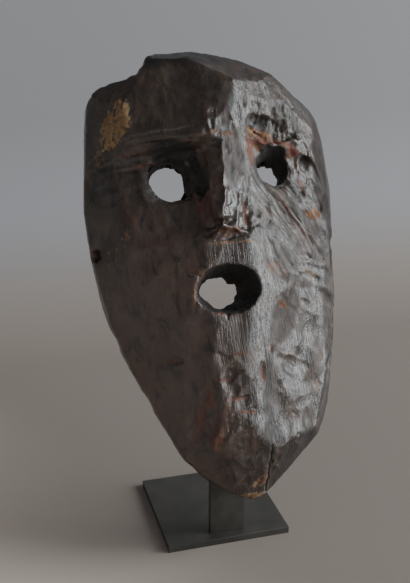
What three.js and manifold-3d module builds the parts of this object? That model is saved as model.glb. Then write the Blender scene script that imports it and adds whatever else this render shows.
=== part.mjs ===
// A carved wooden face mask, leaning back on its black steel display stand.
//
// Millimetres, +Z up. The origin is the centre of the stand's underside, and the mask faces -Y.
// The mask is one piece of wood: a hewn and hollowed half log with eye, mouth and cord holes.
// It is shaped in a frame of its own, u to the right, v up from the chin and w out of the face,
// with w = 0 on the plane that the back of its rim lies on, and is then leaned back.
// Every hewn facet is a plane and every gouge mark a scoop, one entry each in the lists below.

import * as THREE from 'three';
import { ConvexGeometry } from 'three/addons/geometries/ConvexGeometry.js';
import { mergeVertices } from 'three/addons/utils/BufferGeometryUtils.js';
import Module from 'manifold-3d';

const wasm = await Module();
wasm.setup();

// Stand
const PLATE_SIDE = 90;
const PLATE_THICKNESS = 5;
const UPRIGHT_WIDTH = 25;
const UPRIGHT_THICKNESS = 5;
const UPRIGHT_TOP = 114;
const UPRIGHT_FRONT = -37.5;
const SEAT_GAP = 0.3;

// Mask placing: the chin's tip at the back of the rim, and the lean
const CHIN = [12, -56, 41.6];
const LEAN = THREE.MathUtils.degToRad(28);
const BLOCK_DEPTH = 90;

// Outline of the mask seen from the front, as [u, v], clockwise from the chin
const OUTLINE = [
  [0, 0], [-13, 5], [-26, 13.5], [-41.4, 27], [-53.4, 50], [-67, 79.5], [-78.5, 108], [-86, 130],
  [-90, 152], [-93, 180], [-94, 212], [-90.5, 244], [-87.5, 270], [-83.4, 288], [-73, 294],
  [-55, 295], [-49, 300.5], [-38.8, 311.5], [-20, 312.5], [2, 312], [23.5, 308.5], [44.2, 297.2],
  [62, 283], [79.4, 274.3], [87, 257], [91, 236], [91.5, 208], [86, 184], [80.6, 160], [78, 132],
  [73, 102], [68, 72], [61, 47.3], [43, 30], [24, 14.5], [10, 4.5],
];
const OUTLINE_STEPS = 108;

// Hewn planes that bound the wood from the front. Each passes through the point (u, v) at
// height w, and climbs by `across` for each millimetre of u and by `up` for each of v.
const FACE = [
  { name: 'forehead, left', u: -20, v: 275, w: 47.5, across: 0.19, up: -0.14 },
  { name: 'forehead, right', u: 32, v: 280, w: 44, across: -0.4, up: -0.13 },
  { name: 'crown, right', u: 32, v: 288, w: 42.2, across: -0.3, up: -0.9 },
  { name: 'crown, left', u: -25, v: 304, w: 42, across: 0.1, up: -1.2 },
  { name: 'shoulder, right', u: 45.5, v: 276, w: 39.2, across: -0.62, up: -0.35 },
  { name: 'shoulder, left', u: -74, v: 284, w: 28, across: 0.7, up: -0.6 },
  { name: 'temple, right', u: 68, v: 250, w: 31, across: -0.55, up: -0.05 },
  { name: 'temple, high right', u: 72, v: 266, w: 22.5, across: -0.9, up: -0.4 },
  { name: 'temple, left', u: -76, v: 255, w: 31, across: 1.5, up: -0.05 },
  { name: 'cheek, left', u: -45, v: 165, w: 40, across: 0.34, up: 0.07 },
  { name: 'cheek, right', u: 42, v: 165, w: 38, across: -0.42, up: 0.03 },
  { name: 'side, left', u: -72, v: 170, w: 30.5, across: 1.05, up: 0.02 },
  { name: 'side, right', u: 70, v: 175, w: 27.5, across: -1.3, up: 0.04 },
  { name: 'muzzle', u: -6, v: 150, w: 47, across: 0.04, up: 0.075 },
  { name: 'muzzle, right', u: 8, v: 160, w: 48.2, across: -0.28, up: 0.06 },
  { name: 'jaw, inner left', u: -26, v: 122, w: 44.5, across: 0.4, up: 0.12 },
  { name: 'jaw, left', u: -43, v: 125, w: 38.1, across: 0.62, up: 0.25 },
  { name: 'jaw, inner right', u: 1, v: 119, w: 45.4, across: -0.3, up: 0.16 },
  { name: 'jaw, right', u: 30, v: 119, w: 36.5, across: -0.5, up: 0.14 },
  { name: 'jaw, low right', u: 34, v: 66, w: 26, across: -0.46, up: 0.12 },
  { name: 'jaw, front', u: -8, v: 95, w: 43.5, across: 0.05, up: 0.2 },
  { name: 'chin, front', u: -6, v: 42, w: 32.5, across: 0.05, up: 0.55 },
  { name: 'lower side, left', u: -64, v: 80, w: 12, across: 1.2, up: 0.52 },
  { name: 'lower side, right', u: 62, v: 70, w: 11, across: -1.3, up: 0.5 },
  { name: 'chin side, left', u: -24, v: 20, w: 15, across: 0.55, up: 0.75 },
  { name: 'chin side, right', u: 24, v: 26, w: 17, across: -0.65, up: 0.8 },
];

// Each part of the pared eye sockets is the wood above all of its planes: a floor, the underside
// of the brow, the cheek's upper edge and the side of the nose.
const SOCKETS = [
  [
    { name: 'left floor', u: -40, v: 225, w: 32, across: 0.12, up: -0.14 },
    { name: 'under the left brow', u: -26, v: 246, w: 49.9, across: 0.27, up: 1.3 },
    { name: 'above the left cheek', u: -25, v: 190, w: 38, across: 0.2, up: -0.6 },
    { name: 'towards the nose from the left', u: -23, v: 205, w: 33, across: 0.9, up: 0 },
  ],
  [
    { name: 'outer left floor', u: -80, v: 215, w: 23.4, across: 1.12, up: -0.04 },
    { name: 'under the left brow', u: -26, v: 246, w: 49.9, across: 0.27, up: 1.3 },
    { name: 'above the left side', u: -80, v: 190, w: 26, across: 0.2, up: -0.6 },
  ],
  [
    { name: 'right floor', u: 40, v: 228, w: 31.5, across: -0.24, up: -0.06 },
    { name: 'under the right brow', u: 20, v: 250, w: 48, across: 0.08, up: 1.26 },
    { name: 'above the right cheek', u: 20, v: 198, w: 38, across: -0.36, up: -0.26 },
    { name: 'towards the nose from the right', u: 16, v: 205, w: 36, across: -0.75, up: 0 },
  ],
  [
    { name: 'outer right floor', u: 70, v: 215, w: 23.5, across: -0.98, up: 0.03 },
    { name: 'under the right brow', u: 20, v: 250, w: 48, across: 0.08, up: 1.26 },
    { name: 'above the right side', u: 70, v: 190, w: 25, across: -0.2, up: -0.6 },
  ],
  [
    { name: 'right of the bridge', u: 16, v: 262, w: 48.5, across: -0.34, up: 0.24 },
    { name: 'above the right eye', u: 16, v: 235, w: 45, across: 0, up: -0.8 },
  ],
];

// The nose stands proud of the muzzle, under all of these planes.
const NOSE = [
  { name: 'left side', u: -23, v: 205, w: 33, across: 2.2, up: 0 },
  { name: 'left of the ridge', u: -8, v: 200, w: 57, across: 0.8, up: -0.22 },
  { name: 'right of the ridge', u: -8, v: 200, w: 56.5, across: -0.5, up: 0.01 },
  { name: 'right side', u: 23, v: 205, w: 37.4, across: -0.62, up: 0 },
  { name: 'underside', u: -6, v: 176, w: 48, across: 0, up: 1.3 },
];
const NOSE_TOP = 262;

// The space behind the face, under all of these planes
const HOLLOW = [
  { name: 'behind the jaw', u: 0, v: 69, w: 15.5, across: 0, up: Math.tan(LEAN) },
  { name: 'behind the mouth', u: 0, v: 150, w: 21.5, across: 0, up: -0.04 },
  { name: 'behind the left cheek', u: -40, v: 200, w: 16, across: 0.13, up: -0.01 },
  { name: 'behind the right cheek', u: 40, v: 200, w: 14, across: -0.13, up: -0.01 },
  { name: 'behind the forehead', u: 0, v: 262, w: 14, across: 0, up: -0.6 },
  { name: 'left wall', u: -80, v: 190, w: 0, across: 1, up: 0 },
  { name: 'right wall', u: 76, v: 190, w: 0, across: -1, up: 0 },
  { name: 'lower left wall', u: -56, v: 84, w: 0, across: 0.92, up: 0.4 },
  { name: 'lower right wall', u: 57, v: 82, w: 0, across: -0.93, up: 0.36 },
];

// Holes through the face: an ellipse at the front and one at the back, each given as its
// centre, its height w and its two half widths
const HOLES = [
  { name: 'left eye', front: [-37, 221, 32, 15.5, 15], back: [-37.5, 220.5, 13, 11.5, 12.5] },
  { name: 'right eye', front: [38, 226.5, 32, 12.5, 13.5], back: [38.5, 221.5, 11, 9, 7.5] },
  { name: 'mouth', front: [-10, 141, 46, 23.5, 16.5], back: [-10.5, 142, 21, 13, 10.5] },
];
const HOLE_SIDES = 20;
const PAST_THE_BACK = 0.7;
const PAST_THE_FRONT = 0.25;
const CORD_HOLES = [{ side: -1, v: 177 }, { side: 1, v: 171 }];
const CORD_HOLE = { radius: 4.5, w: 8.5, innerU: 54, outerU: 104 };

// Gouge marks: where each is centred, which way it runs in degrees from the u axis, its half
// length, its half width and how deep it goes below the hewn plane
const SCOOPS = [
  { name: 'over the right eye', u: 34, v: 253, run: -18, length: 18, width: 6.5, depth: 6 },
  { name: 'beside the mouth', u: 44, v: 148, run: -15, length: 30, width: 17, depth: 1.5 },
  { name: 'right jaw, high', u: 57, v: 115, run: 65, length: 28, width: 20, depth: 2.2 },
  { name: 'right jaw, inner', u: 24, v: 112, run: 80, length: 30, width: 18, depth: 1.2 },
  { name: 'right jaw, middle', u: 42, v: 84, run: 10, length: 25, width: 18, depth: 2.2 },
  { name: 'right jaw, low', u: 42, v: 50, run: 75, length: 20, width: 16, depth: 1.2 },
  { name: 'right of the chin', u: 14, v: 62, run: 85, length: 24, width: 13, depth: 0.9 },
];

function solidOf(geometry) {
  const bare = geometry.index ? geometry.toNonIndexed() : geometry.clone();
  bare.deleteAttribute('normal');
  bare.deleteAttribute('uv');
  const merged = mergeVertices(bare, 1e-4);
  return new wasm.Manifold(new wasm.Mesh({
    numProp: 3,
    vertProperties: merged.attributes.position.array,
    triVerts: new Uint32Array(merged.index.array),
  }));
}

function geometryOf(solid) {
  const mesh = solid.getMesh();
  const geometry = new THREE.BufferGeometry();
  geometry.setAttribute('position', new THREE.BufferAttribute(new Float32Array(mesh.vertProperties), 3));
  geometry.setIndex(new THREE.BufferAttribute(new Uint32Array(mesh.triVerts), 1));
  const flat = geometry.toNonIndexed();
  flat.computeVertexNormals();
  return flat;
}

const heightAt = (plane, u, v) => plane.w + plane.across * (u - plane.u) + plane.up * (v - plane.v);

function tiltOf(plane) {
  const normal = new THREE.Vector3(-plane.across, -plane.up, 1).normalize();
  return new THREE.Quaternion().setFromUnitVectors(new THREE.Vector3(0, 0, 1), normal);
}

// A block far larger than the mask, with one face on the plane, below it or above it
function halfSpace(plane, side) {
  const reach = 800;
  const block = new THREE.BoxGeometry(reach, reach, reach).translate(0, 0, side * reach / 2);
  return solidOf(block.applyQuaternion(tiltOf(plane)).translate(plane.u, plane.v, plane.w));
}

// What is left of the solid on one side of every plane
const keepSide = (solid, planes, side) => (
  planes.reduce((kept, plane) => kept.intersect(halfSpace(plane, side)), solid)
);
const cutUnder = (solid, planes) => keepSide(solid, planes, -1);
const cutOver = (solid, planes) => keepSide(solid, planes, 1);

function blank() {
  const corners = OUTLINE.map(([u, v]) => new THREE.Vector3(u, v, 0));
  const curve = new THREE.CatmullRomCurve3(corners, true, 'centripetal');
  const steps = curve.getSpacedPoints(OUTLINE_STEPS).slice(0, -1);
  const shape = new THREE.Shape(steps.map((point) => new THREE.Vector2(point.x, point.y)));
  return solidOf(new THREE.ExtrudeGeometry(shape, { depth: BLOCK_DEPTH, bevelEnabled: false }));
}

// A box in the mask's frame, given by its lowest and highest corners
function boxBetween(low, high) {
  const size = high.map((value, i) => value - low[i]);
  const middle = high.map((value, i) => (value + low[i]) / 2);
  return solidOf(new THREE.BoxGeometry(...size).translate(...middle));
}

// The two ellipses of a hole, carried on along its sides past both faces of the wood, by the
// given shares of the height between them
function holeCutter({ front, back }) {
  const ring = (share) => Array.from({ length: HOLE_SIDES }, (unused, i) => {
    const angle = (i / HOLE_SIDES) * 2 * Math.PI;
    const [u, v, w, across, up] = front.map((value, k) => back[k] + (value - back[k]) * share);
    return new THREE.Vector3(u + across * Math.cos(angle), v + up * Math.sin(angle), w);
  });
  return solidOf(new ConvexGeometry([...ring(-PAST_THE_BACK), ...ring(1 + PAST_THE_FRONT)]));
}

function cordHole({ side, v }) {
  const length = CORD_HOLE.outerU - CORD_HOLE.innerU;
  const drill = new THREE.CylinderGeometry(CORD_HOLE.radius, CORD_HOLE.radius, length, 16);
  drill.rotateZ(Math.PI / 2);
  return solidOf(drill.translate(side * (CORD_HOLE.innerU + length / 2), v, CORD_HOLE.w));
}

// A ball stretched to the gouge's length and width, sunk by its depth into the plane it marks
function scoop({ u, v, run, length, width, depth }) {
  const plane = FACE.reduce((low, next) => (heightAt(next, u, v) < heightAt(low, u, v) ? next : low));
  const ball = new THREE.SphereGeometry(1, 24, 16).rotateX(Math.PI / 2);
  const rise = 2 * depth;
  const spread = 1 / Math.sqrt(1 - (rise / (rise + depth)) ** 2);
  ball.scale(length * spread, width * spread, rise + depth).translate(0, 0, rise);
  ball.rotateZ(THREE.MathUtils.degToRad(run)).applyQuaternion(tiltOf(plane));
  return solidOf(ball.translate(u, v, heightAt(plane, u, v)));
}

function maskSolid() {
  let wood = cutUnder(blank(), FACE);
  for (const planes of SOCKETS) {
    wood = wood.subtract(cutOver(boxBetween([-120, 140, 0], [120, 280, BLOCK_DEPTH]), planes));
  }
  wood = wood.add(cutUnder(boxBetween([-40, 160, 25], [40, NOSE_TOP, BLOCK_DEPTH]), NOSE));
  for (const mark of SCOOPS) {
    wood = wood.subtract(scoop(mark));
  }
  wood = wood.subtract(cutUnder(boxBetween([-120, 0, -20], [120, 320, BLOCK_DEPTH]), HOLLOW));
  for (const hole of [...HOLES.map(holeCutter), ...CORD_HOLES.map(cordHole)]) {
    wood = wood.subtract(hole);
  }
  return wood;
}

const woodMaterial = new THREE.MeshStandardMaterial({ color: 0x2b211b, roughness: 0.45, metalness: 0 });
const steelMaterial = new THREE.MeshStandardMaterial({ color: 0x15171a, roughness: 0.5, metalness: 0.3 });

function named(name, geometry, material) {
  const mesh = new THREE.Mesh(geometry, material);
  mesh.name = name;
  return mesh;
}

const group = new THREE.Group();

const plateBox = new THREE.BoxGeometry(PLATE_SIDE, PLATE_SIDE, PLATE_THICKNESS);
const plate = named('base_plate', plateBox, steelMaterial);
plate.position.z = PLATE_THICKNESS / 2;
group.add(plate);

const uprightHeight = UPRIGHT_TOP - PLATE_THICKNESS;
const uprightBox = new THREE.BoxGeometry(UPRIGHT_WIDTH, UPRIGHT_THICKNESS, uprightHeight);
const upright = named('upright', uprightBox, steelMaterial);
upright.position.set(0, UPRIGHT_FRONT + UPRIGHT_THICKNESS / 2, PLATE_THICKNESS + uprightHeight / 2);
group.add(upright);

const leaned = new THREE.Group();
leaned.position.set(...CHIN);
leaned.rotation.x = Math.PI / 2 - LEAN;
leaned.updateMatrixWorld(true);

// The seat in the back of the jaw that the upright lies in, cut with a little room round it
const seat = new THREE.BoxGeometry(
  UPRIGHT_WIDTH + 2 * SEAT_GAP, UPRIGHT_THICKNESS + 2 * SEAT_GAP, uprightHeight + 2 * SEAT_GAP,
);
seat.translate(...upright.position.toArray());
seat.applyMatrix4(leaned.matrixWorld.clone().invert());

leaned.add(named('mask', geometryOf(maskSolid().subtract(solidOf(seat))), woodMaterial));
group.add(leaned);

export default group;
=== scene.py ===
"""The looks of a hewn, blackened wooden face mask on its small black steel stand.

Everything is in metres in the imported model's frame: +Z up, the mask faces -Y, and the origin is
under the middle of the stand's plate. The mask is a finer copy of its CAD solid. It is carved
further in a frame of its own, in millimetres: u to the right, v up from the chin and w out of
the face, with w = 0 at the back of the rim.
"""

import math

import bmesh
import bpy
import numpy as np
from mathutils import Matrix, Vector, noise


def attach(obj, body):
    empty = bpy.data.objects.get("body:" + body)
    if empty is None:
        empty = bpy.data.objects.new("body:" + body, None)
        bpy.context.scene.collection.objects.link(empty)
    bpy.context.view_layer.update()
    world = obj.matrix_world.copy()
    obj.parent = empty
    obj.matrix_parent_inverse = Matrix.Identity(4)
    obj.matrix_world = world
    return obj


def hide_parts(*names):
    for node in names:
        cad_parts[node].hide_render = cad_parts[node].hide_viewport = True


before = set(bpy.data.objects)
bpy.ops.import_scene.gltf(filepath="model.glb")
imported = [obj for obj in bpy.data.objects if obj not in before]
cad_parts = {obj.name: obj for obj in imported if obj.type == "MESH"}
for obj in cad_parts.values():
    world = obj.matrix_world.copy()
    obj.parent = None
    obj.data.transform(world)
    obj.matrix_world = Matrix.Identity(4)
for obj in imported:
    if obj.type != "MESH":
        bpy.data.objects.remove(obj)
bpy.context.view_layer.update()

MM = 0.001

# Where the mask's frame lies in the model's: the chin at the back of the rim, and the lean
CHIN = Vector((0.012, -0.056, 0.0416))
LEAN = math.radians(28)
STANDING = math.pi / 2 - LEAN
TO_MODEL = Matrix.Translation(CHIN) @ Matrix.Rotation(STANDING, 4, "X")

# How finely the mask's copy is carved, how many triangles it keeps, and in how many steps from its
# face to its back it is thinned more and more
VOXEL = 0.85 * MM
TRIANGLES = 196000
THINNING_STEPS = 10

# Where the CAD solid's hard edges are smoothed first, as u, v, run, half length and half width, and
# how many rounds of smoothing they get
SMOOTHED = [
    (-66, 196, 80, 60, 46), (42, 194, -60, 44, 34), (11, 249, -20, 16, 12), (54, 250, 0, 22, 13),
]
SMOOTHING_ROUNDS = 90

# Chips: how far their rows sway and how far the middle of each strays, in shares of a chip, how
# much less they tilt along than across, how hollow they are for their tilt, and how many to a side
# of the square of chances that repeats
CHIP_SWAY = 0.18
CHIP_STRAY = 0.38
CHIP_TILT_ALONG = 0.6
CHIP_HOLLOW = 0.38
CHIP_TABLE = 64

# The fine grain's depth, and how much deeper it is down the middle of the muzzle
GRAIN_DEPTH = 0.04
MUZZLE_GRAIN_DEPTH = 0.13

# The strokes that hollowed the back: the corners of the rectangle of (u, v) that they fill, their
# spacing, run, half length, half width and depth
BACK_STROKES = {
    "low": (-80, 60), "high": (80, 290), "spacing": (11, 28), "run": 86, "length": 24,
    "width": 8.5, "depth": 1.1,
}
SEED = 7

# How deep the rounded edges and their nicks go, and the surface's slow and quicker waves
EDGE_WEAR = 0.3
NICK_DEPTH = 2.4
SLOW_WAVE = 0.4
QUICK_WAVE = 0.2

# Gouge marks on the face: u, v, run in degrees from the u axis, half length, half width,
# depth, and how much of the depth is a wedge that deepens towards the far end and stops there
GOUGES = [
    # forehead and crown
    (-38, 266, -8, 32, 12, 0.5, 0.0),
    (-30, 292, 20, 26, 12, 0.6, 0.0),
    (16, 277, 76, 16, 7, 1.2, 0.2),
    (25, 279, 88, 15, 6, 1.2, 0.3),
    (34, 280, 102, 14, 6, 1.2, 0.2),
    (24, 294, 160, 13, 5, 0.8, 0.2),
    (33, 252, -104, 8, 17, 5.0, 1.0),
    (47, 276, 122, 15, 8, 1.2, 0.3),
    (10, 264, 85, 12, 6, 1.0, 0.3),
    (66, 262, -60, 16, 9, 1.0, 0.1),
    # the arc of the left brow
    (-36, 240, 95, 12, 22, 1.2, 1.0),
    (-58, 235, 96, 15, 16, 2.0, 1.0),
    (-73, 231, 112, 16, 13, 2.2, 1.0),
    (-81, 221, 138, 15, 11, 1.8, 1.0),
    # right jaw: broad facets that meet in ridges
    (57, 109, 70, 19, 14, 1.3, 0.1),
    (25, 112, 180, 15, 26, 1.8, 1.0),
    (37, 110, 80, 16, 9, 0.9, 0.3),
    (34, 132, 75, 15, 9, 0.8, 0.3),
    (18, 118, 88, 18, 8, 0.8, 0.2),
    (44, 53, 80, 16, 12, 1.1, 0.7),
    (28, 43, 62, 12, 8, 0.8, 0.7),
    (48, 71, 262, 10, 11, 1.0, 0.8),
    (32, 78, 70, 10, 8, 1.0, 0.6),
    (13, 72, 88, 29, 11, 0.8, 0.2),
    (50, 85, 20, 13, 6, 1.0, 0.5),
    (66, 86, 80, 16, 7, 1.2, 0.2),
    # right cheek: short cuts across its lower end, and a smooth one above the jaw
    (59, 161, -8, 13, 3.2, 1.1, 0.5),
    (62, 154, -10, 13, 3.0, 1.0, 0.5),
    (56, 147, -14, 15, 4.0, 1.2, 0.4),
    (38, 146, -20, 13, 8, 0.9, 0.3),
    (64, 135, -32, 14, 6, 1.1, 0.3),
    (24, 163, -62, 20, 9, 1.2, 0.2),
    (46, 190, -56, 30, 1.6, 1.0, 0.3),
    (54, 184, -58, 24, 1.4, 1.0, 0.4),
    (38, 196, -54, 24, 5.0, 1.1, 0.2),
    # pits in the right jaw and chips down its front
    (17, 98, 65, 4.5, 2.2, 2.4, 0.6),
    (9, 84, 95, 8, 2.6, 2.2, 0.5),
    (30, 128, -30, 4, 1.8, 1.8, 0.5),
    (-13, 77, 84, 10, 8, 1.6, 1.0),
    (-9, 64, 95, 7, 9, 1.9, 1.0),
    (-4, 55, 78, 7, 6, 1.6, 1.0),
    (-20, 91, 76, 8, 6, 1.2, 1.0),
    (-11, 40, 86, 12, 9, 1.2, 0.5),
    (8, 52, 75, 12, 7, 1.2, 0.4),
    (4, 34, 95, 16, 7, 1.0, 0.3),
    # left jaw and cheek
    (-34, 100, 78, 30, 8, 0.9, 0.1),
    (-56, 112, 70, 30, 10, 0.9, 0.1),
    (-53, 97, 15, 9, 3.0, 1.3, 0.8),
    (-60, 166, 10, 20, 9, 0.8, 0.2),
    (-30, 60, 75, 18, 5, 1.2, 0.5),
    (-36, 52, 65, 14, 5, 1.2, 0.5),
    # the nose's tip: a deep slot over it, and the notch under the mouth
    (-9, 186, 6, 11, 3.2, 4.2, 0.2),
    (-14, 180, -20, 5, 2.4, 2.2, 0.4),
    (-1, 176, 8, 9, 2.2, 2.4, 0.3),
    (10, 190, 88, 14, 2.2, 2.0, 0.2),
    (-12, 124, 86, 4.5, 1.3, 3.0, 0.0),
]

# Chipped relief: u, v, run, half length, half width of the patch, how far its chips tilt in
# degrees, how far they step in mm, then the run, length and width of the chips
RELIEF = [
    # the knife's marks over the whole face: long and flat on the left, crossed on the right
    (-50, 160, 86, 175, 58, 7, 0.15, 84, 30, 14),
    (48, 84, 80, 96, 46, 10, 0.14, 76, 24, 15),
    (62, 214, 88, 54, 48, 9, 0.12, -60, 16, 10),
    (54, 92, 80, 92, 40, 14, 0.1, 62, 17, 11),
    (58, 196, 60, 60, 30, 12, 0.1, -56, 28, 4.5),
    # crumpled wood on the bridge and the lit side of the nose
    (2, 212, 90, 38, 16, 30, 0.6, 80, 7.5, 3.8),
    (-3, 248, 80, 20, 14, 30, 0.5, 86, 7.5, 2.8),
    (6, 190, 0, 17, 11, 30, 0.8, 50, 6.0, 4.0),
    (-6, 180, 0, 18, 7, 32, 1.0, 8, 5.5, 3.2),
    # torn wood over and beside the right eye
    (36, 252, -16, 20, 8, 30, 1.2, 78, 8.0, 2.4),
    (36, 260, -12, 27, 8, 22, 0.6, 84, 9.0, 2.4),
    (52, 259, 80, 16, 13, 28, 0.5, 88, 9.0, 3.0),
    (57, 240, -42, 15, 9, 32, 1.0, -25, 6.0, 3.6),
    (66, 212, -74, 28, 9, 32, 1.0, -62, 6.0, 4.2),
    # streaks down the right cheek
    (44, 190, -56, 46, 19, 9, 0.2, -56, 17.0, 3.0),
    (30, 168, -50, 34, 15, 7, 0.15, -42, 14.0, 4.2),
    # pared lines under the left brow and up the left of the nose
    (-50, 238, 4, 38, 10, 18, 0.35, 3, 14.0, 2.8),
    (-72, 220, 20, 20, 15, 9, 0.3, 10, 11.0, 3.4),
    (-20, 212, 90, 38, 8, 16, 0.3, 90, 16.0, 3.0),
    # hacked wood down the left of the jaw, on its front and on the chin
    (-28, 58, 66, 36, 15, 27, 0.6, 76, 8.0, 4.2),
    (-10, 66, 90, 34, 13, 22, 0.4, 60, 7.0, 4.5),
    (-4, 16, 0, 28, 18, 24, 0.5, 60, 7.0, 4.5),
    (-10, 126, 0, 24, 8, 10, 0.3, 80, 7.0, 3.2),
    # ridges between the facets of the right jaw
    (40, 84, -30, 26, 8, 14, 0.3, -20, 9.0, 5.0),
    (44, 129, -28, 22, 7, 14, 0.3, -30, 9.0, 5.0),
]

# Where the black has worn through: u, v, run, half length, half width, strength and hue, from
# 0 for dark red through 0.5 for rusty brown to 1 for ochre
WEAR = [
    # over and beside the right eye, and down the cheek
    (39, 240, -13, 27, 8, 1.4, 0.35),
    (20, 237, 94, 15, 4.5, 1.2, 0.45),
    (30, 249, -14, 15, 4, 1.2, 0.7),
    (66, 192, -5, 9, 5.5, 0.8, 0.65),
    (60, 211, -70, 10, 3, 0.7, 0.4),
    (47, 190, -57, 28, 1.8, 0.6, 0.3),
    (50, 178, -60, 14, 1.8, 0.6, 0.1),
    (78, 240, 88, 32, 4, 0.15, 0.5),
    # the nose: its left side, its tip and its bridge
    (-21, 205, 90, 28, 1.6, 0.7, 0.0),
    (-19, 210, 90, 32, 6, 0.45, 0.15),
    (-15, 214, 90, 24, 1.2, 0.5, 0.1),
    (-29, 212, 88, 26, 1.6, 0.4, 0.0),
    (-5, 179, 6, 15, 4.5, 0.5, 0.4),
    (9, 192, 86, 11, 1.8, 1.0, 0.15),
    (-4, 172, 0, 22, 1.2, 0.8, 0.6),
    (-5, 247, 0, 17, 2.0, 0.6, 0.75),
    # under the left brow
    (-48, 242, 4, 32, 3, 0.4, 0.05),
    (-50, 234, 4, 30, 2.5, 0.4, 0.1),
    # where the right cheek meets the jaw
    (28, 153, -20, 15, 8, 0.4, 0.45),
    (58, 150, -12, 15, 2.5, 0.4, 0.9),
    (30, 129, -30, 5, 2.5, 0.9, 0.55),
    # the left of the jaw, then its front
    (-52, 99, 12, 11, 2.2, 0.6, 0.1),
    (-33, 62, 68, 24, 5, 0.6, 0.0),
    (-24, 52, 66, 20, 5, 0.6, 0.1),
    (-25, 43, 70, 9, 4, 0.7, 0.6),
    (-11, 69, 2, 9, 1.6, 0.9, 0.5),
    (-6, 60, -6, 10, 1.8, 0.9, 0.4),
    (-18, 83, 4, 9, 3.0, 0.5, 0.1),
    (-8, 98, 6, 8, 1.8, 0.6, 0.3),
    # the pits in the right jaw, and the chin
    (17, 98, 65, 4, 2, 0.9, 0.3),
    (9, 84, 95, 8, 1.8, 0.9, 0.3),
    (50, 71, 20, 8, 5, 0.4, 0.7),
    (3, 12, 30, 8, 4, 0.7, 0.85),
    (-6, 3, 0, 20, 3, 0.7, 0.85),
    # the mouth's rim, then the left temple and edge
    (-26, 150, 100, 14, 2.6, 0.7, 0.7),
    (-33, 138, 80, 12, 2.2, 0.7, 0.8),
    (-14, 125, -8, 14, 2, 0.6, 0.4),
    (-70, 262, 70, 20, 11, 0.95, 1.0),
    (-80, 246, 70, 16, 5, 0.35, 0.9),
    (-73, 184, 80, 8, 5, 0.3, 0.9),
    (-80, 176, 60, 14, 7, 0.25, 0.8),
]

# How long, wide and deep the streaks in the worn patches are
WEAR_STREAK = (6.0, 1.7, 6.0)

# The holes' hand-cut walls: u, v and radius of each hole and the w it ends at behind, then lumps
# as the angle they stand at, how wide they are in degrees to either side, how far they move the
# wall outwards, and whether only its back half
HOLE_WALLS = [
    (-37, 221, 14, 14, [(78, 12, 2.2, True), (45, 20, 1.2, True), (-48, 26, 3.6, False),
                        (-105, 35, 0.8, False)]),
    (38, 223, 11, 12, [(118, 30, 9.0, True), (105, 42, -1.8, False), (20, 35, -3.0, True),
                       (-25, 25, -2.0, True)]),
    (-10, 141, 18, 22, [(158, 24, 1.6, True), (125, 20, 1.0, True), (48, 18, -2.8, True),
                        (20, 12, 1.0, True), (-15, 14, -1.4, True), (-60, 25, -1.2, True),
                        (-150, 28, -2.0, True)]),
]

# Bites out of the outline, and one place where it is proud: u, v, radius and depth
BITES = [
    (-84, 291, 5, 1.2), (-62, 296, 4, 1.4), (-53, 299, 3, 2.2), (-49, 303, 3, 1.6),
    (-43, 309, 5, -1.0), (-30, 313, 6, 1.0), (-6, 315, 5, 1.0), (14, 311, 6, 1.2),
    (34, 304, 7, 1.2),
    (56, 290, 8, 1.5), (72, 279, 7, 1.6), (86, 262, 9, 1.6), (91, 236, 9, 1.0),
    (90, 204, 8, 1.2), (85, 176, 6, 1.6), (-84, 118, 8, 1.0), (-66, 74, 8, 1.0),
    (-40, 26, 8, 1.2), (70, 80, 9, 1.0), (60, 46, 8, 1.4), (36, 24, 8, 1.0),
]

# Where the wood gleams less: u, v, run, half length, half width and amount
DULL = [
    # forehead and nose
    (50, 262, -30, 18, 8, 0.8), (4, 268, 76, 18, 6, 1.3), (8, 232, 90, 22, 8, 1.2),
    (1, 236, 90, 34, 9, 1.0),
    # right cheek
    (46, 200, -50, 22, 4, 0.8), (62, 184, -62, 15, 8, 1.2), (46, 172, -56, 14, 5, 1.0),
    (66, 168, -60, 16, 8, 0.8), (38, 160, -30, 14, 9, 0.6), (45, 145, -14, 18, 5, 1.0),
    # right jaw
    (32, 122, 60, 26, 12, 1.4), (45, 118, 70, 12, 6, 0.7), (57, 94, 70, 16, 7, 0.9),
    (52, 80, 20, 11, 5, 1.2), (43, 49, 75, 11, 7, 1.1),
    # front of the jaw
    (-6, 110, 93, 42, 8, 0.6), (13, 72, 84, 27, 7, 0.7), (9, 44, 80, 12, 5, 0.9),
    # the mask's right edge, and the outer rim of the left eye
    (80, 222, 90, 54, 10, 1.0), (75, 138, 81, 66, 8, 1.2), (-52, 221, 90, 18, 6, 1.4),
]

# The right cheek, where the grain slants, and the reddish wood up the left of the nose: u, v, run,
# half length and half width
SLANTED_CHEEK = (44, 190, -56, 52, 30)
SLANT = 56
REDDISH_NOSE = (-16, 212, 90, 42, 13)

# The pit torn out over the right eye, darkened with painted shade: u, v, run, half length and half
# width
PIT = (33, 254, -14, 14, 4.2)

# The pale edge of the wood low on the right: how far up it goes, and how far from the back
PALE_RIM_TOP = 58
PALE_RIM_HEIGHT = 2.6

# The open crack up the chin, as points u, v
CRACK = [(7.5, 4), (9, 14), (10.5, 26), (11.5, 35)]
CRACK_WIDTH = 0.9
CRACK_DEPTH = 2.6
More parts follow.
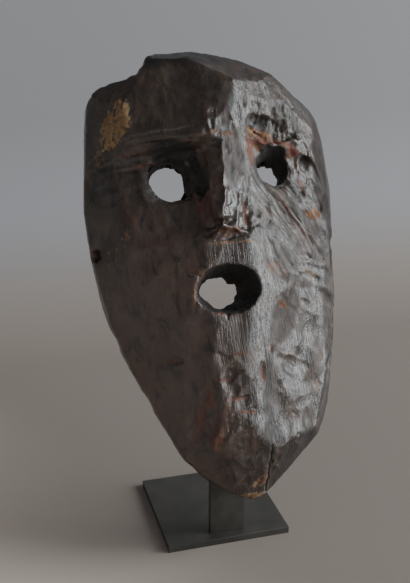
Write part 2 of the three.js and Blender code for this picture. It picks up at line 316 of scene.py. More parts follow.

# The blackened wood's colours, with painted light and shade among them as marked. A list is a run of
# stops, each a position and a colour.
MOTTLING = [
    (0.34, (0.022, 0.022, 0.018)), (0.45, (0.038, 0.024, 0.019)), (0.53, (0.033, 0.028, 0.023)),
    (0.60, (0.060, 0.042, 0.029)), (0.72, (0.028, 0.024, 0.020)),
]
PALE_GRAIN = (0.075, 0.053, 0.041)
REDDISH_BROWN = (0.105, 0.066, 0.052)
DARK_STREAKS = (0.012, 0.010, 0.009)
RUSSET_STREAKS = (0.110, 0.060, 0.042)
# a paler warm tint in patches, laid only on the side the window lights: partly the wood's own tint,
# partly painted light
LIT_SIDE_FILM_COLOUR = (0.13, 0.100, 0.065)
# painted shade on the right flank, which turns away from the window
SHADED_FLANK = (0.020, 0.014, 0.012)
# painted shade on the top of the crown, left of the middle, which the window leaves dark
CROWN_SHADE = (0.008, 0.007, 0.006)
# rubbed edges: partly worn wood, partly a painted highlight along the ridges, strongest on the lit
# right side
RUBBED_EDGE_AND_HIGHLIGHT = (0.24, 0.205, 0.175)
# painted shade in the hollows of the relief, in the crack and in the pit over the right eye
SUNK_SHADE = (0.006, 0.005, 0.004)

# The colours of wood that has lost its black, by hue, and its dark specks
BARE_WOOD = [
    (0.0, (0.12, 0.030, 0.020)), (0.3, (0.17, 0.050, 0.026)), (0.5, (0.20, 0.082, 0.042)),
    (0.7, (0.22, 0.098, 0.034)), (1.0, (0.32, 0.200, 0.088)),
]
BARE_SPECKS = (0.045, 0.022, 0.015)

# The colours of the hollowed back, the painted shade on the walls of the holes, and the pale edge
HOLLOW_DARK = (0.035, 0.022, 0.014)
HOLLOW_PALE = (0.085, 0.055, 0.034)
HOLE_WALL_SHADE = (0.007, 0.005, 0.004)
PALE_EDGE = (0.36, 0.25, 0.15)

# How rough the waxed wood is, from its smoothest places to its dullest, how much that changes with
# each thing stored on the mesh, and how strong the wax's sheen is
WAXED = (0.22, 0.32)
ROUGHER = {
    "wear": 0.5, "inner": 0.3, "flank": 0.3, "wall": 0.4, "torn": 0.03, "sunk": 0.3, "edge": -0.06,
    "dull": 0.42,
}
SHEEN = 0.7

# The steel's colours, and how wide its edges are eased
STEEL_BLACK = (0.058, 0.055, 0.049)
STEEL_DUST = (0.082, 0.077, 0.069)
STEEL_SCUFF = (0.06, 0.06, 0.062)
EASED_EDGE = 0.5 * MM

# Where Blender's mix node has its share, its two colours and the colour that comes out
MIX_INPUTS = (0, 6, 7)
MIX_OUTPUT = 2

# Camera, fitted to the stand's plate in the photograph
CAMERA_AT = (-0.16175, -0.55343, 0.38235)
CAMERA_AZIMUTH = math.radians(-15.72)
CAMERA_ELEVATION = math.radians(19.71)
CAMERA_LENS = 54.34
CAMERA_SENSOR = 36

# Stage: a sheet of paper that sweeps up into a wall behind the stand. The floor is paler to the front
# left, painted light where the mask's shadow and the window's fall-off darken it; that colour fades
# across, and the floor's colours fade into the wall's as it rises.
FLOOR_COLOUR = (0.30, 0.261, 0.229)
FLOOR_LEFT_PAINTED_LIGHT = (0.66, 0.570, 0.495)
WALL_COLOUR = (0.32, 0.32, 0.333)
FLOOR_FADE = (-0.25, 0.0)
WALL_FADE = (0.0, 0.12)
SWEEP_START = 0.30
SWEEP_RADIUS = 0.22
STAGE_LEFT = -2.6
STAGE_RIGHT = 0.7
STAGE_FRONT = -1.8
STAGE_TOP = 0.75
SWEEP_STEPS = 16

# Light: a tall window to the right, the paler wall that it lights round it, and a dim room that is
# darker overhead. Each light: name, azimuth and elevation in degrees and distance in metres from
# the mask, width and height in metres, radiance
MIDDLE = Vector((0.01, 0.0, 0.19))
LIGHTS = [
    ("window", 15, 19, 4.5, 1.7, 5.0, 9.2),
    ("lit_wall", 27, 18, 4.5, 4.8, 4.8, 2.0),
]
LIGHT_COLOUR = (0.93, 0.97, 1.0)
ROOM_COLOUR = (0.48, 0.475, 0.47)
CEILING_COLOUR = (0.13, 0.13, 0.135)
CEILING_STARTS = 0.6


def smooth_step(value, low, high):
    """0 below low and 1 above high, easing between them."""
    share = np.clip((value - low) / (high - low), 0, 1)
    return share * share * (3 - 2 * share)


def local_axes(points, u, v, run):
    """How far each point lies along and across a mark centred at (u, v)."""
    along_u, along_v = math.cos(math.radians(run)), math.sin(math.radians(run))
    du, dv = points[:, 0] - u, points[:, 1] - v
    return du * along_u + dv * along_v, dv * along_u - du * along_v


def blob(points, u, v, run, length, width):
    """1 at the centre of an elliptical patch, falling to 0 at its edge."""
    along, across = local_axes(points, u, v, run)
    return np.clip(1 - (along / length) ** 2 - (across / width) ** 2, 0, 1)


def noise_at(points, scale, shift=0.0):
    """Smooth noise from -1 to 1, with bumps about as large as scale, which may differ by axis.

    Each shift gives another pattern.
    """
    places = points / np.asarray(scale, float) + shift
    return np.fromiter((noise.noise(p) for p in places.tolist()), float, len(places))


def chips(points, run, length, width, tilt, step, seed):
    """The height of chipped wood: shallow scoops, each tilted its own way, that meet in ridges."""
    along, across = local_axes(points, 0, 0, run)
    places = np.stack([along / length, across / width, points[:, 2] / 20], 1)
    sway = [noise_at(places, 1.2, seed + 40.5), noise_at(places, 1.3, seed + 60.5)]
    places = places[:, :2] + CHIP_SWAY * np.stack(sway, 1)
    table = np.random.default_rng(seed).uniform(-1, 1, (CHIP_TABLE, CHIP_TABLE, 5))
    slope = math.tan(math.radians(tilt))
    bowl = CHIP_HOLLOW * slope * (CHIP_TILT_ALONG * length + width)
    lowest = np.full(len(points), 1e3)
    for i, j in np.ndindex(3, 3):
        cell = np.floor(places).astype(int) + (i - 1, j - 1)
        chance = table[cell[:, 0] % CHIP_TABLE, cell[:, 1] % CHIP_TABLE]
        away = places - cell - 0.5 - CHIP_STRAY * chance[:, :2]
        rise_along = chance[:, 2] * away[:, 0] * length * CHIP_TILT_ALONG
        rise = slope * (rise_along + chance[:, 3] * away[:, 1] * width)
        lowest = np.minimum(lowest, rise + bowl * (away**2).sum(1) + step * chance[:, 4])
    return lowest


class Carving:
    """The mask's surface in its own frame, in millimetres, while it is being carved."""

    def __init__(self, mesh):
        self.mesh = mesh
        self.count = len(mesh.vertices)
        self.edges = np.empty(len(mesh.edges) * 2, np.int64)
        mesh.edges.foreach_get("vertices", self.edges)
        self.edges = self.edges.reshape(-1, 2)
        ends = np.concatenate([self.edges[:, 0], self.edges[:, 1]])
        self.neighbours = np.maximum(np.bincount(ends, minlength=self.count), 1)[:, None]
        self.points = self.read("co")
        self.normals = self.read("normal")

    def read(self, field):
        values = np.empty(self.count * 3, np.float32)
        self.mesh.vertices.foreach_get(field, values)
        scale = MM if field == "co" else 1
        return values.reshape(-1, 3).astype(float) / scale

    def write(self):
        self.mesh.vertices.foreach_set("co", (self.points * MM).astype(np.float32).ravel())
        self.mesh.update()
        self.normals = self.read("normal")

    def mean_of_neighbours(self, values):
        """For each vertex, the mean of its neighbours' values."""
        first, second = self.edges.T
        sums = [
            np.bincount(first, column[second], self.count)
            + np.bincount(second, column[first], self.count)
            for column in values.reshape(self.count, -1).T
        ]
        return (np.stack(sums, 1) / self.neighbours).reshape(values.shape)

    def soften(self, values, rounds):
        """Spreads each vertex's value over its neighbours."""
        for _ in range(rounds):
            values = 0.5 * values + 0.5 * self.mean_of_neighbours(values)
        return values

    def facing(self):
        """How squarely each point faces the front, from 1 down to -1 at the back."""
        return self.soften(self.normals[:, 2:], 6)[:, 0]

    def curvature(self, rounds):
        """Above 0 on ridges and edges and below 0 in hollows, in millimetres."""
        return ((self.points - self.soften(self.points, rounds)) * self.normals).sum(1)


def stroke(points, u, v, run, length, width, depth, stop):
    """How deep one stroke of a gouge goes: a shallow trough, deeper towards a sudden stop."""
    along, across = local_axes(points, u, v, run)
    reach = along / length
    trough = 1 - reach**2 - (across / width) ** 2
    wedge = (1 + reach) / 2 * (1 - (across / width) ** 2) * (np.abs(reach) < 1)
    return depth * np.clip((1 - stop) * trough + stop * wedge, 0, 1)


def down_the_middle(points, half_width, top):
    """1 down the middle of the muzzle and the jaw, fading to both sides and above top."""
    across = np.exp(-(((points[:, 0] + 2) / half_width) ** 2))
    return across * (1 - smooth_step(points[:, 1], top, 185))


def scattered(rng, low, high, spacing):
    """Places on a grid over a rectangle of (u, v), each moved at random within its own cell."""
    for u in np.arange(low[0], high[0], spacing[0]):
        for v in np.arange(low[1], high[1], spacing[1]):
            yield u + rng.uniform(0, spacing[0]), v + rng.uniform(0, spacing[1])


def scallops(points, rng, low, high, spacing, run, length, width, depth):
    """The hollows that many even strokes of a curved blade leave side by side."""
    cut = np.zeros(len(points))
    for u, v in scattered(rng, low, high, spacing):
        near = np.hypot(points[:, 0] - u, points[:, 1] - v) < length * 1.3
        size = rng.uniform(0.7, 1.25)
        mark = (u, v, run + rng.normal(0, 14), length * size, width * size, depth * size)
        cut[near] = np.maximum(cut[near], stroke(points[near], *mark, rng.uniform(0, 0.6)))
    return cut


def crack_line(points):
    """How near each point is to the crack, from 0 away from it to 1 on it."""
    nearest = np.full(len(points), 1e3)
    for (u0, v0), (u1, v1) in zip(CRACK, CRACK[1:]):
        run = math.degrees(math.atan2(v1 - v0, u1 - u0))
        half = math.hypot(u1 - u0, v1 - v0) / 2
        along, across = local_axes(points, (u0 + u1) / 2, (v0 + v1) / 2, run)
        nearest = np.minimum(nearest, np.hypot(np.maximum(np.abs(along) - half, 0), across))
    return np.clip(1 - nearest / CRACK_WIDTH, 0, 1)


def ease_sockets(carving):
    """Smooths the hard CAD edges where the sockets run out into the cheeks and the brow."""
    points = carving.points
    share = np.zeros(carving.count)
    for place in SMOOTHED:
        share = np.maximum(share, smooth_step(blob(points, *place), 0, 0.3))
    share *= smooth_step(carving.normals[:, 2], 0.25, 0.5) * smooth_step(points[:, 2], 8, 14)
    smooth = carving.soften(points, SMOOTHING_ROUNDS)
    carving.points = points + (smooth - points) * share[:, None]


def shape_walls(carving):
    """Gives the holes their uneven walls. Returns how much each point belongs to a wall."""
    points, normals = carving.points, carving.normals
    walls = np.zeros(carving.count)
    moves = np.zeros((carving.count, 2))
    for u, v, radius, end, lumps in HOLE_WALLS:
        away = points[:, :2] - (u, v)
        reach = np.maximum(np.hypot(*away.T), 1)
        outwards = away / reach[:, None]
        inward = -(outwards * normals[:, :2]).sum(1)
        wall = smooth_step(inward, 0.4, 0.75) * (reach < 1.7 * radius)
        behind = 1 - smooth_step(points[:, 2], end + 4, end + 12)
        angle = np.degrees(np.arctan2(away[:, 1], away[:, 0]))
        move = 0.5 * noise_at(points, (3, 3, 7), 17.0)
        for centre, half, out, back_only in lumps:
            turn = (angle - centre + 180) % 360 - 180
            move += out * np.clip(1 - (turn / half) ** 2, 0, 1) * (behind if back_only else 1)
        moves += outwards * (move * wall)[:, None]
        walls = np.maximum(walls, wall)
    carving.points[:, :2] += moves
    return walls


def carve_front(carving):
    """Cuts the chips, the gouge marks and the crack into the face. Returns torn wood and crack."""
    points = carving.points
    inside = smooth_step(carving.facing(), 0.12, 0.4) * smooth_step(points[:, 2], 5, 11)
    warp = [
        1.6 * noise_at(points, 13, shift) + 0.5 * noise_at(points, 3.5, shift)
        for shift in (31, 47)
    ]
    bent = points + np.stack([*warp, np.zeros(len(points))], 1)

    cut, torn = np.zeros(len(points)), np.zeros(len(points))
    for mark in GOUGES:
        cut = np.maximum(cut, stroke(bent, *mark))
    for seed, (*place, tilt, step, run, length, width) in enumerate(RELIEF):
        patch = smooth_step(blob(points, *place), 0, 0.4)
        near = patch * inside > 0
        height = chips(points[near], run, length, width, tilt, step, seed) - 0.5 * step
        cut[near] -= patch[near] * height
        torn[near] = np.maximum(torn[near], patch[near] * min(step, 1))

    grain = noise_at(points, (1.6, 24, 3), 3.0)
    cut -= grain * (GRAIN_DEPTH + MUZZLE_GRAIN_DEPTH * down_the_middle(points, 34, 150))

    crack = crack_line(points)
    cut += CRACK_DEPTH * crack
    carving.points -= carving.normals * (cut * inside)[:, None]
    return torn * inside, crack * inside


def carve_back(carving, rng):
    """Cuts the long strokes with which the back was hollowed."""
    points = carving.points
    hollow = smooth_step(-carving.facing(), 0.3, 0.7) * smooth_step(points[:, 2], 2.5, 6)
    cut = scallops(points, rng, **BACK_STROKES)
    cut += 0.1 * noise_at(points, (1.6, 22, 3), 5.0)
    carving.points -= carving.normals * (cut * hollow)[:, None]


def batter(carving, walls):
    """Wears the edges, bites the outline and gives the surface its slow unevenness."""
    points = carving.points
    wave = SLOW_WAVE * noise_at(points, 24, 2.0) + QUICK_WAVE * noise_at(points, 8, 4.0) - 0.12
    edge = np.clip(carving.curvature(10) / 0.5, 0, 1)
    nicks = np.clip(noise_at(points, 5, 6.0) - 0.1, 0, 1) * NICK_DEPTH
    sink = edge * (EDGE_WEAR + nicks) * (1 - 0.7 * walls) - wave
    rim = 1 - smooth_step(carving.normals[:, 2], 0.2, 0.7)
    for u, v, radius, depth in BITES:
        off = np.hypot(points[:, 0] - u, points[:, 1] - v)
        sink += depth * np.clip(1 - (off / radius) ** 2, 0, 1) * rim
    carving.points -= carving.normals * sink[:, None]


def keep(mesh, name, values):
    """Stores one number for each vertex, for the wood's material to read."""
    layer = mesh.attributes.new(name, "FLOAT", "POINT")
    layer.data.foreach_set("value", np.clip(values, 0, 1).astype(np.float32))


def worn(points):
    """How worn each point is, in streaks along each patch, and the hue that shows there."""
    strength, weight, hue = np.zeros(len(points)), np.full(len(points), 1e-6), np.zeros(len(points))
    for seed, (u, v, run, length, width, amount, tint) in enumerate(WEAR):
        patch = smooth_step(blob(points, u, v, run, length, width), 0, 0.7)
        near = patch > 0
        along, across = local_axes(points[near], u, v, run)
        streak = np.stack([along, across, points[near, 2]], 1)
        broken = 0.5 + 0.8 * noise_at(streak, WEAR_STREAK, 5.0 * seed)
        broken += 0.4 * noise_at(points[near], 1.8, seed)
        patch = amount * patch[near] * smooth_step(broken + 0.4 * patch[near], 0.35, 0.85)
        strength[near] = np.maximum(strength[near], patch)
        weight[near] += patch
        hue[near] += patch * (tint + 0.4 * noise_at(points[near], 4, seed + 0.5))
    return strength, hue / weight


def shaded_flank(carving, walls):
    """1 on the mask's right side, which turns away from the window."""
    u, v = carving.points[:, 0], carving.points[:, 1]
    turned = (1 - smooth_step(carving.facing(), 0.62, 0.82)) * smooth_step(u, 0, 15)
    outermost = smooth_step(u + 2.5 * noise_at(carving.points, (5, 12, 9), 14.0), 70, 77)
    return np.maximum(turned, outermost * smooth_step(v, 165, 185)) * (1 - walls)


def pale_rim(carving):
    """1 on the pale edge of the wood low on the right."""
    u, v, w = carving.points.T
    rim = smooth_step(PALE_RIM_HEIGHT + 0.6 * noise_at(carving.points, 9) - w, 0, 0.8)
    return rim * (u > 6) * (v < PALE_RIM_TOP) * (carving.normals[:, 2] > -0.5)


def dull_patches(points):
    """How much duller each point is than the waxed wood round it."""
    patches = [amount * smooth_step(blob(points, *place), 0, 0.6) for *place, amount in DULL]
    return np.maximum.reduce(patches) * (0.8 + 0.5 * noise_at(points, (4, 7, 5), 12.0))


def store_wear(carving, torn, crack, walls):
    """Stores where the wood is worn, torn, sunk or dull, where its grain and colours change, and
    where its colour gets painted shade or painted light.
    """
    points = carving.points
    u, v, w = points.T
    curve = carving.curvature(3)
    strength, hue = worn(points)
    eye_walls = walls * (v > 180)
    pit = smooth_step(blob(points, *PIT), 0, 0.5) * (0.6 + 0.8 * noise_at(points, (2.2, 6, 4), 8.0))
    flank = shaded_flank(carving, walls)
    fibrous = np.maximum(down_the_middle(points, 27, 160), smooth_step(u, 0, 20))
    lower_left = (1 - smooth_step(v, 150, 230)) * (1 - smooth_step(u, -25, 5))
    reddish_nose = smooth_step(blob(points, *REDDISH_NOSE), 0, 0.5)
    layers = {
        "wear": smooth_step(w, 4, 10) * strength * (1 - eye_walls),
        "hue": hue,
        "edge": smooth_step(curve, 0.03, 0.16),
        # the hollows, the crack and the pit: rougher, and darkened in the colour with painted shade
        "sunk": np.maximum.reduce([smooth_step(-curve, 0.12, 0.5), crack, pit]),
        "torn": torn,
        "wall": walls,
        "inner": (1 - smooth_step(carving.normals[:, 2], -0.5, 0.1)) * (1 - walls),
        "slant": smooth_step(blob(points, *SLANTED_CHEEK), 0, 0.4),
        "fibrous": (0.12 + 0.88 * fibrous) * (1 - 0.8 * flank),
        # the right flank: rougher, and darkened in the colour with painted shade
        "flank": flank,
        # the top of the crown, left of the middle, which the colour darkens with painted shade
        "shaded_crown": smooth_step(v, 294, 304) * (1 - smooth_step(u, 0, 22)),
        # the lit side, where the colour gets a paler warm tint: partly the wood's own, partly painted
        # light
        "lit_side_film": smooth_step(u, 4, 20) * smooth_step(v, 30, 60) * (1 - flank),
        "rim": pale_rim(carving),
        "dull": dull_patches(points),
        "brown": np.maximum(lower_left, 0.9 * reddish_nose),
    }
    for name, values in layers.items():
        keep(carving.mesh, name, values)


def link(name, mesh):
    """A new object in the scene that shows the mesh."""
    piece = bpy.data.objects.new(name, mesh)
    bpy.context.scene.collection.objects.link(piece)
    return piece


def applied(piece):
    """The piece's mesh with its modifiers applied, as a new mesh."""
    graph = bpy.context.evaluated_depsgraph_get()
    return bpy.data.meshes.new_from_object(piece.evaluated_get(graph))


def swap_mesh(piece, mesh):
    """Gives the piece another mesh, without modifiers."""
    piece.modifiers.clear()
    spare = piece.data
    piece.data = mesh
    bpy.data.meshes.remove(spare)


def thin(piece, normals):
    """Brings the carved piece down to its number of triangles, most of all at the back."""
    fewer = piece.modifiers.new("fewer", "DECIMATE")
    fewer.ratio = TRIANGLES / (2 * len(piece.data.polygons))
    fewer.use_collapse_triangulate = True
    behind = piece.vertex_groups.new(name="behind")
    away = 0.02 + smooth_step(-normals[:, 2], -0.1, 0.5)
    steps = np.ceil(np.clip(away, 0, 1) * THINNING_STEPS)
    for step in range(1, THINNING_STEPS + 1):
        members = np.nonzero(steps == step)[0]
        behind.add(members.tolist(), step / THINNING_STEPS, "REPLACE")
    fewer.vertex_group = "behind"
    swap_mesh(piece, applied(piece))
    piece.vertex_groups.clear()


def carved_mask():
    """The mask as seen: its CAD solid, remeshed finely, carved further and thinned."""
    rng = np.random.default_rng(SEED)
    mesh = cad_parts["mask"].data.copy()
    mesh.materials.clear()
    mesh.transform(TO_MODEL.inverted())
    piece = link("carved_mask", mesh)
    remesh = piece.modifiers.new("fine", "REMESH")
    remesh.mode = "VOXEL"
    remesh.voxel_size = VOXEL
    swap_mesh(piece, applied(piece))

    carving = Carving(piece.data)
    carving.points = carving.soften(carving.points, 2)
    ease_sockets(carving)
    carving.write()
    walls = shape_walls(carving)
    carving.write()
    torn, crack = carve_front(carving)
    carve_back(carving, rng)
    carving.write()
    batter(carving, walls)
    carving.write()
    store_wear(carving, torn, crack, walls)
    thin(piece, carving.normals)

    piece.data.transform(TO_MODEL)
    piece.data.shade_smooth()
    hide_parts("mask")
    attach(piece, "root")
    return piece


class Nodes:
    """A material's node tree, with short calls for the nodes that are used most."""

    def __init__(self, name):
        self.material = bpy.data.materials.new(name)
        self.material.use_nodes = True
        self.tree = self.material.node_tree
        self.shader = self.tree.nodes["Principled BSDF"]

    def add(self, kind, **settings):
        node = self.tree.nodes.new(kind)
        for key, value in settings.items():
            setattr(node, key, value)
        return node

    def join(self, source, target):
        self.tree.links.new(source, target)

    def feed(self, value, socket):
        """Sets a socket from another socket, a number or a colour, which is three numbers."""
        if isinstance(value, bpy.types.NodeSocket):
            self.join(value, socket)
        elif isinstance(value, tuple):
            socket.default_value = (*value, 1)
        else:
            socket.default_value = value

    def place(self):
        """Coordinates in the mask's own frame, in metres."""
        coordinates = self.add("ShaderNodeTexCoord")
        turn = self.add("ShaderNodeMapping", vector_type="TEXTURE")
        turn.inputs["Location"].default_value = CHIN
        turn.inputs["Rotation"].default_value = (STANDING, 0, 0)
        self.join(coordinates.outputs["Object"], turn.inputs["Vector"])
        return turn.outputs["Vector"]

    def stretched(self, place, size, turn=0.0):
        """Coordinates turned about w, then scaled so that a pattern's unit is size, in mm by axis."""
        if turn:
            spin = self.add("ShaderNodeMapping")
            spin.inputs["Rotation"].default_value = (0, 0, math.radians(turn))
            self.join(place, spin.inputs["Vector"])
            place = spin.outputs["Vector"]
        scale = self.add("ShaderNodeMapping")
        scale.inputs["Scale"].default_value = [1 / (s * MM) for s in size]
        self.join(place, scale.inputs["Vector"])
        return scale.outputs["Vector"]

    def noise(self, place, size, detail=4.0, roughness=0.55, distortion=0.0, turn=0.0):
        pattern = self.add("ShaderNodeTexNoise")
        pattern.inputs["Scale"].default_value = 1
        pattern.inputs["Detail"].default_value = detail
        pattern.inputs["Roughness"].default_value = roughness
        pattern.inputs["Distortion"].default_value = distortion
        self.join(self.stretched(place, size, turn), pattern.inputs["Vector"])
        return pattern.outputs["Fac"]

    def ramp(self, value, low, high, start=0.0, end=1.0):
        """Maps value from low..high to start..end, clamped."""
        ranged = self.add("ShaderNodeMapRange", interpolation_type="SMOOTHSTEP")
        ends = {"From Min": low, "From Max": high, "To Min": start, "To Max": end}
        for key, number in ends.items():
            ranged.inputs[key].default_value = number
        self.join(value, ranged.inputs["Value"])
        return ranged.outputs["Result"]

    def fine_lines(self, pattern):
        """0 on the thin lines along which the pattern passes its middle value, 1 between them."""
        return self.ramp(self.math("ABSOLUTE", self.math("SUBTRACT", pattern, 0.5), 0), 0, 0.09)

    def colours(self, value, stops):
        """Maps value to a colour through stops, each a position and a colour."""
        ramp = self.add("ShaderNodeValToRGB")
        elements = ramp.color_ramp.elements
        while len(elements) < len(stops):
            elements.new(1.0)
        for element, (position, colour) in zip(elements, stops):
            element.position = position
            element.color = (*colour, 1)
        self.join(value, ramp.inputs["Fac"])
        return ramp.outputs["Color"]

    def attribute(self, name):
        return self.add("ShaderNodeAttribute", attribute_name=name).outputs["Fac"]

    def math(self, operation, first, second):
        node = self.add("ShaderNodeMath", operation=operation)
        for socket, value in zip(node.inputs, (first, second)):
            self.feed(value, socket)
        return node.outputs[0]

    def mix(self, share, first, second):
        """Mixes two colours, each a socket or three numbers, by share."""
        node = self.add("ShaderNodeMix", data_type="RGBA")
        for index, value in zip(MIX_INPUTS, (share, first, second)):
            self.feed(value, node.inputs[index])
        return node.outputs[MIX_OUTPUT]

    def bump(self, height, depth, normal=None):
        """Tilts the surface by a height pattern whose full range is depth millimetres."""
        node = self.add("ShaderNodeBump")
        node.inputs["Strength"].default_value = 1
        node.inputs["Distance"].default_value = depth * MM
        self.join(height, node.inputs["Height"])
        if normal is not None:
            self.join(normal, node.inputs["Normal"])
        return node.outputs["Normal"]


class Wood(Nodes):
    """Blackened, hand-rubbed wood: mottled, worn through in places, with a waxy sheen."""

    def __init__(self):
        """Makes the patterns: size in mm along u, v and w, detail, roughness and distortion."""
        super().__init__("blackened_wood")
        place = self.place()
        self.clouds = self.noise(place, (15, 22, 15), 5, 0.6)
        self.streaks = self.noise(place, (7, 17, 7), 6, 0.7, 0.8)
        self.patches = self.noise(place, (6, 9, 6), 5, 0.65)
        self.smears = self.noise(place, (9, 14, 9), 4)
        self.specks = self.noise(place, (2.2, 3.2, 2.2), 6, 0.7)
        self.fine = self.noise(place, (0.9, 1.3, 0.9), 5, 0.65)
        self.grain = self.noise(place, (1.2, 20, 1.2), 6, 0.6, 0.4)
        self.fibres = self.noise(place, (0.45, 6, 0.45), 5, 0.65, 0.3)
        self.lines = self.fine_lines(self.noise(place, (1.7, 26, 1.7), 3, 0.5, 0.3))
        self.slanted_grain = self.noise(place, (16, 1.1, 1.1), 6, 0.6, 0.4, turn=SLANT)
        self.slanted_fibres = self.noise(place, (6, 0.5, 0.5), 5, 0.65, 0.3, turn=SLANT)
        slanted_lines = self.noise(place, (22, 1.6, 1.6), 3, 0.5, 0.3, turn=SLANT)
        self.slanted_lines = self.fine_lines(slanted_lines)

    def tinted(self, colour, layer, share, tint):
        """The colour, turned by up to share towards the tint where the layer is stored."""
        return self.mix(self.math("MULTIPLY", self.attribute(layer), share), colour, tint)

    def blackened(self):
        """The old surface with its streaks, its rubbed edges partly lightened as painted highlights,
        painted shade in the hollows, on the crown and on the right flank, and a paler tint on the lit
        side.
        """
        colour = self.colours(self.clouds, MOTTLING)
        colour = self.mix(self.ramp(self.grain, 0.5, 0.75, 0, 0.5), colour, PALE_GRAIN)
        colour = self.tinted(colour, "brown", 0.5, REDDISH_BROWN)
        colour = self.mix(self.ramp(self.streaks, 0.5, 0.64, 0, 0.75), colour, DARK_STREAKS)
        colour = self.mix(self.ramp(self.streaks, 0.48, 0.34, 0, 0.5), colour, RUSSET_STREAKS)
        # a paler tint on the lit side: partly the wood's own tint, partly painted light
        lit_side_film = self.ramp(self.patches, 0.47, 0.62, 0, 0.25)
        colour = self.tinted(colour, "lit_side_film", lit_side_film, LIT_SIDE_FILM_COLOUR)
        # painted shade on the right flank, which turns away from the window
        colour = self.tinted(colour, "flank", 0.9, SHADED_FLANK)
        # painted shade on the top of the crown
        colour = self.tinted(colour, "shaded_crown", 0.85, CROWN_SHADE)
        # ridges lightened: partly rubbed wear, partly a painted highlight, strongest where the grain
        # is fibrous, mostly the lit right side
        edge = self.math("MULTIPLY", self.attribute("edge"), self.ramp(self.specks, 0.35, 0.6))
        edge = self.math("MULTIPLY", edge, self.ramp(self.attribute("fibrous"), 0, 1, 0.3, 1))
        colour = self.mix(self.math("MULTIPLY", edge, 0.6), colour, RUBBED_EDGE_AND_HIGHLIGHT)
        # painted shade in the hollows, the crack and the pit
        return self.tinted(colour, "sunk", 0.8, SUNK_SHADE)

    def colour(self):
        """The blackened wood, the bare wood where it is worn, the back, and painted shade on the
        walls of the holes.
        """
        wear = self.attribute("wear")
        bare = self.colours(self.attribute("hue"), BARE_WOOD)
        bare = self.mix(self.ramp(self.specks, 0.38, 0.6, 0.55, 0), bare, BARE_SPECKS)
        worn_specks = self.math("ADD", wear, self.ramp(self.specks, 0.3, 0.7, -0.35, 0.35))
        fade = self.ramp(wear, 0, 0.25, 0, 0.9)
        worn_through = self.math("MULTIPLY", self.ramp(worn_specks, 0.25, 0.75), fade)
        colour = self.mix(worn_through, self.blackened(), bare)
        hollowed = self.mix(self.ramp(self.grain, 0.35, 0.7), HOLLOW_DARK, HOLLOW_PALE)
        colour = self.tinted(colour, "inner", 0.8, hollowed)
        # the holes' walls darkened nearly to black with painted shade, less where the wood is worn
        colour = self.tinted(colour, "wall", self.ramp(wear, 0.1, 0.6, 0.92, 0.6), HOLE_WALL_SHADE)
        return self.tinted(colour, "rim", 0.85, PALE_EDGE)

    def roughness(self):
        """Smooth with wax, and rougher where the wood is worn, sunk or dull."""
        rough = self.ramp(self.smears, 0.3, 0.7, *WAXED)
        for layer, amount in ROUGHER.items():
            rough = self.math("ADD", rough, self.math("MULTIPLY", self.attribute(layer), amount))
        return self.math("ADD", rough, self.ramp(self.fine, 0.3, 0.7, -0.05, 0.09))

    def relief(self):
        """What is too fine for the mesh: grain, lumps, lines and fibres, most on fibrous wood."""
        fibrous, slant = self.attribute("fibrous"), self.attribute("slant")
        grain = self.mix(slant, self.math("MULTIPLY", self.grain, fibrous), self.slanted_grain)
        lumps = self.math("MULTIPLY", self.specks, self.ramp(fibrous, 0.3, 1, 0.1, 1))
        lines = self.mix(slant, self.math("MULTIPLY", self.lines, fibrous), self.slanted_lines)
        fibres = self.mix(slant, self.math("MULTIPLY", self.fibres, fibrous), self.slanted_fibres)
        fine = self.math("MULTIPLY", self.fine, self.ramp(fibrous, 0, 1, 0.6, 1))
        normal = None
        depths = ((grain, 0.16), (lumps, 0.16), (lines, 0.12), (fibres, 0.05), (fine, 0.12))
        for height, depth in depths:
            normal = self.bump(height, depth, normal)
        return normal


def wood_material():
    wood = Wood()
    wood.join(wood.colour(), wood.shader.inputs["Base Color"])
    wood.join(wood.roughness(), wood.shader.inputs["Roughness"])
    wood.shader.inputs["Specular IOR Level"].default_value = SHEEN
    wood.join(wood.relief(), wood.shader.inputs["Normal"])
    return wood.material


def steel_material():
    """Satin black steel, a little scuffed and dusty."""
    steel = Nodes("black_steel")
    coordinates = steel.add("ShaderNodeTexCoord").outputs["Object"]
    grime = steel.noise(coordinates, (18, 18, 18), 5)
    speckle = steel.noise(coordinates, (1.1, 1.1, 1.1), 4, 0.7)
    scuff = steel.noise(coordinates, (0.7, 14, 6), 4, 0.6)
    colour = steel.mix(steel.ramp(grime, 0.35, 0.7), STEEL_BLACK, STEEL_DUST)
    colour = steel.mix(steel.ramp(scuff, 0.62, 0.8, 0, 0.5), colour, STEEL_SCUFF)
    steel.join(colour, steel.shader.inputs["Base Color"])
    steel.shader.inputs["Metallic"].default_value = 0.3
    steel.join(steel.ramp(grime, 0.3, 0.7, 0.32, 0.5), steel.shader.inputs["Roughness"])
    steel.join(steel.bump(speckle, 0.06), steel.shader.inputs["Normal"])
    return steel.material


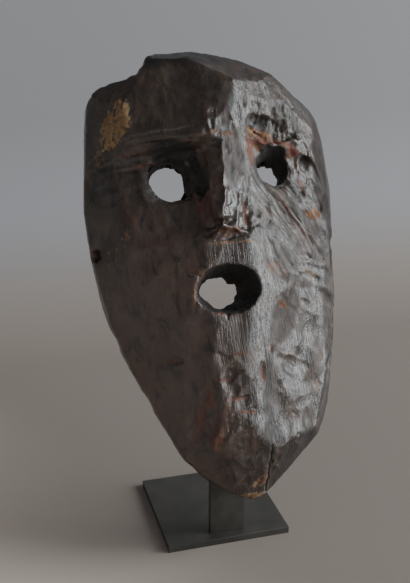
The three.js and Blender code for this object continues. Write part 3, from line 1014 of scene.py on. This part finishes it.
def backdrop_material():
    """Matt paper, warmer on the table, paler in front to the left with painted light where the mask's
    shadow falls, and cooler up the wall.

    It can be looked through from behind, so that the mask's back can be seen too.
    """
    paper = Nodes("studio_paper")
    coordinates = paper.add("ShaderNodeTexCoord").outputs["Object"]
    place = paper.add("ShaderNodeSeparateXYZ")
    paper.join(coordinates, place.inputs["Vector"])
    across = paper.math("ADD", place.outputs["X"], paper.math("MULTIPLY", place.outputs["Y"], 0.5))
    # the floor paler to the front left: painted light where the mask's shadow and the window's
    # fall-off would darken it
    floor = paper.mix(paper.ramp(across, *FLOOR_FADE), FLOOR_LEFT_PAINTED_LIGHT, FLOOR_COLOUR)
    tone = paper.mix(paper.ramp(place.outputs["Z"], *WALL_FADE), floor, WALL_COLOUR)
    paper.join(tone, paper.shader.inputs["Base Color"])
    paper.shader.inputs["Roughness"].default_value = 0.9
    paper.shader.inputs["Specular IOR Level"].default_value = 0.2
    one_sided = paper.add("ShaderNodeMixShader")
    paper.join(paper.add("ShaderNodeNewGeometry").outputs["Backfacing"], one_sided.inputs[0])
    paper.join(paper.shader.outputs[0], one_sided.inputs[1])
    paper.join(paper.add("ShaderNodeBsdfTransparent").outputs[0], one_sided.inputs[2])
    paper.join(one_sided.outputs[0], paper.tree.nodes["Material Output"].inputs["Surface"])
    return paper.material


def backdrop():
    """The sheet of paper that the stand is on, seen from its front alone."""
    profile = [(STAGE_FRONT, 0.0)]
    for step in range(SWEEP_STEPS + 1):
        angle = step / SWEEP_STEPS * math.pi / 2
        along = SWEEP_START + SWEEP_RADIUS * math.sin(angle)
        profile.append((along, SWEEP_RADIUS * (1 - math.cos(angle))))
    profile.append((SWEEP_START + SWEEP_RADIUS, STAGE_TOP))
    shape = bmesh.new()
    sides = [
        [shape.verts.new((x, y, z)) for y, z in profile] for x in (STAGE_LEFT, STAGE_RIGHT)
    ]
    for i in range(len(profile) - 1):
        shape.faces.new((sides[0][i], sides[1][i], sides[1][i + 1], sides[0][i + 1]))
    mesh = bpy.data.meshes.new("backdrop")
    shape.to_mesh(mesh)
    shape.free()
    mesh.shade_smooth()
    paper = link("backdrop", mesh)
    paper.data.materials.append(backdrop_material())


def finish_stand():
    """The steel pieces keep their CAD shape, with their edges eased."""
    steel = steel_material()
    for name in ("base_plate", "upright"):
        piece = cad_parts[name]
        piece.data.materials.clear()
        piece.data.materials.append(steel)
        weld = piece.modifiers.new("weld", "WELD")
        weld.merge_threshold = 0.01 * MM
        ease = piece.modifiers.new("ease", "BEVEL")
        ease.width = EASED_EDGE
        ease.segments = 3
        ease.harden_normals = True


def room():
    """The dim room all round: its walls as bright as the horizon, its ceiling darker."""
    world = bpy.data.worlds.new("room")
    world.use_nodes = True
    tree = world.node_tree
    way = tree.nodes.new("ShaderNodeTexCoord")
    split = tree.nodes.new("ShaderNodeSeparateXYZ")
    ramp = tree.nodes.new("ShaderNodeValToRGB")
    ramp.color_ramp.elements[0].color = (*ROOM_COLOUR, 1)
    ramp.color_ramp.elements[1].color = (*CEILING_COLOUR, 1)
    ramp.color_ramp.elements[1].position = CEILING_STARTS
    tree.links.new(way.outputs["Generated"], split.inputs["Vector"])
    tree.links.new(split.outputs["Z"], ramp.inputs["Fac"])
    tree.links.new(ramp.outputs["Color"], tree.nodes["Background"].inputs["Color"])
    bpy.context.scene.world = world


def soft_light(name, place, target, size, radiance):
    """A rectangle of light that looks as bright all over as radiance says."""
    light = bpy.data.lights.new(name, "AREA")
    light.shape = "RECTANGLE"
    light.size, light.size_y = size
    light.energy = radiance * math.pi * size[0] * size[1]
    light.color = LIGHT_COLOUR
    lamp = bpy.data.objects.new(name, light)
    bpy.context.scene.collection.objects.link(lamp)
    lamp.location = place
    lamp.rotation_euler = (Vector(target) - Vector(place)).to_track_quat("-Z", "Y").to_euler()


def lamps():
    """Hangs each light where its azimuth, elevation and distance say, aimed at the mask."""
    for name, azimuth, elevation, distance, width, height, radiance in LIGHTS:
        turn, rise = math.radians(azimuth), math.radians(elevation)
        level = math.cos(rise)
        way = Vector((math.cos(turn) * level, -math.sin(turn) * level, math.sin(rise)))
        soft_light(name, MIDDLE + way * distance, MIDDLE, (width, height), radiance)


def photo_camera():
    camera = bpy.data.objects.new("camera", bpy.data.cameras.new("camera"))
    bpy.context.scene.collection.objects.link(camera)
    camera.data.lens = CAMERA_LENS
    camera.data.sensor_width = CAMERA_SENSOR
    camera.location = CAMERA_AT
    camera.rotation_euler = (math.pi / 2 - CAMERA_ELEVATION, 0, CAMERA_AZIMUTH)
    bpy.context.scene.camera = camera


photo_camera()
carved_mask().data.materials.append(wood_material())
finish_stand()
backdrop()
room()
lamps()
